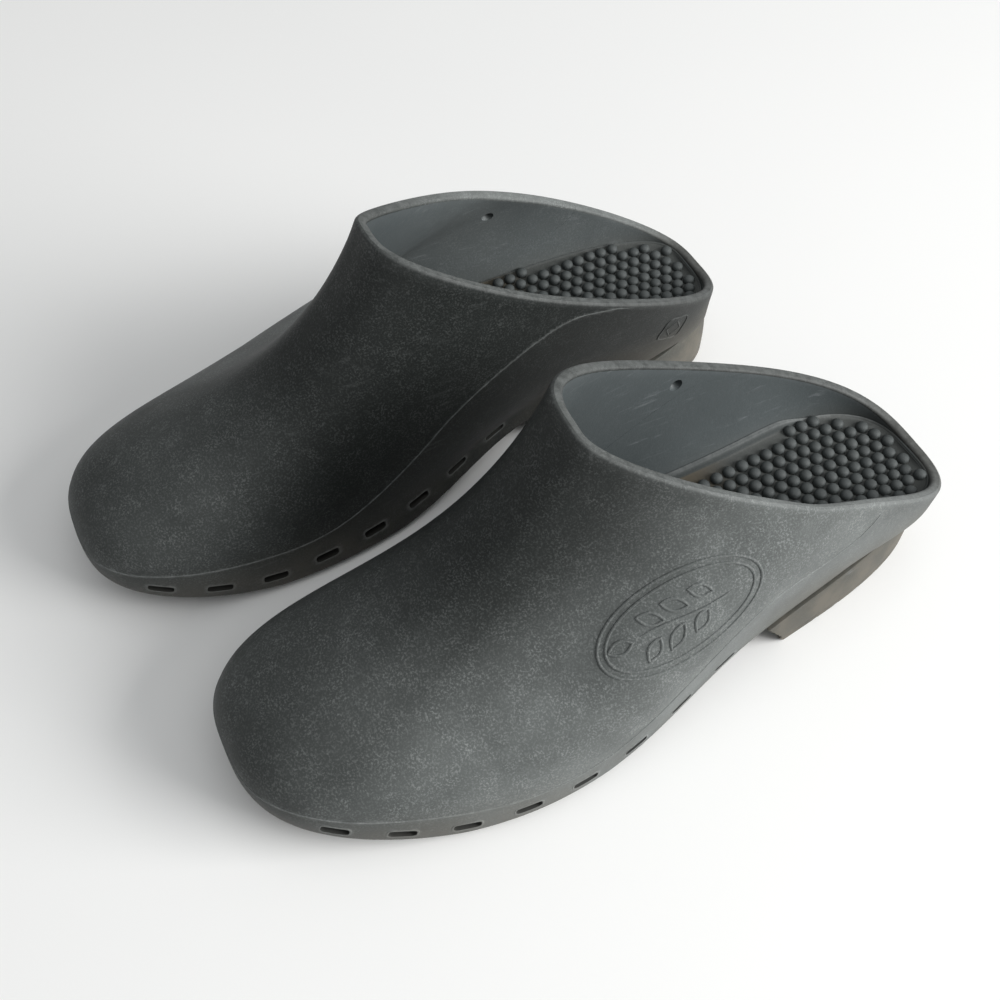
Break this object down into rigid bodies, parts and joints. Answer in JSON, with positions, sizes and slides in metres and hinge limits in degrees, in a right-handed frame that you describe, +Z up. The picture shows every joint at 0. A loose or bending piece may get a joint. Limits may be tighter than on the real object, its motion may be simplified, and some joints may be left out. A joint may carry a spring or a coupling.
{
  "type": "rubber garden clogs",
  "caption": "Pair of backless moulded rubber garden clogs with a raised heel, drain slots and a nubbed footbed.",
  "frame": {"origin": "on the floor under the middle of the pair's box", "axes": "+Z up, the toes point along -Y, +X towards the wearer's left, so the left clog is at +X"},
  "size_m": [0.2274, 0.3006, 0.1269],
  "materials": {
    "upper": "matte moulded, fine light speckle",
    "sole": "matte moulded, slightly browned",
    "footbed": "matte, round nubs",
    "heel": "matte moulded, browned by soil",
    "tread": "matte, grooved"
  },
  "bodies": {
    "left_clog": {"left_upper_shell": "upper", "left_sole_unit": "sole", "left_massage_footbed": "footbed", "left_heel_block": "heel", "left_heel_tread": "tread", "left_forefoot_tread": "tread"},
    "right_clog": {"right_upper_shell": "upper", "right_sole_unit": "sole", "right_massage_footbed": "footbed", "right_heel_block": "heel", "right_heel_tread": "tread", "right_forefoot_tread": "tread"}
  },
  "joints": [
    {"name": "right_clog_lift", "type": "slide", "parent": "left_clog", "child": "right_clog", "axis": [0, 0, 1], "range_m": [0, 0.15]}
  ]
}
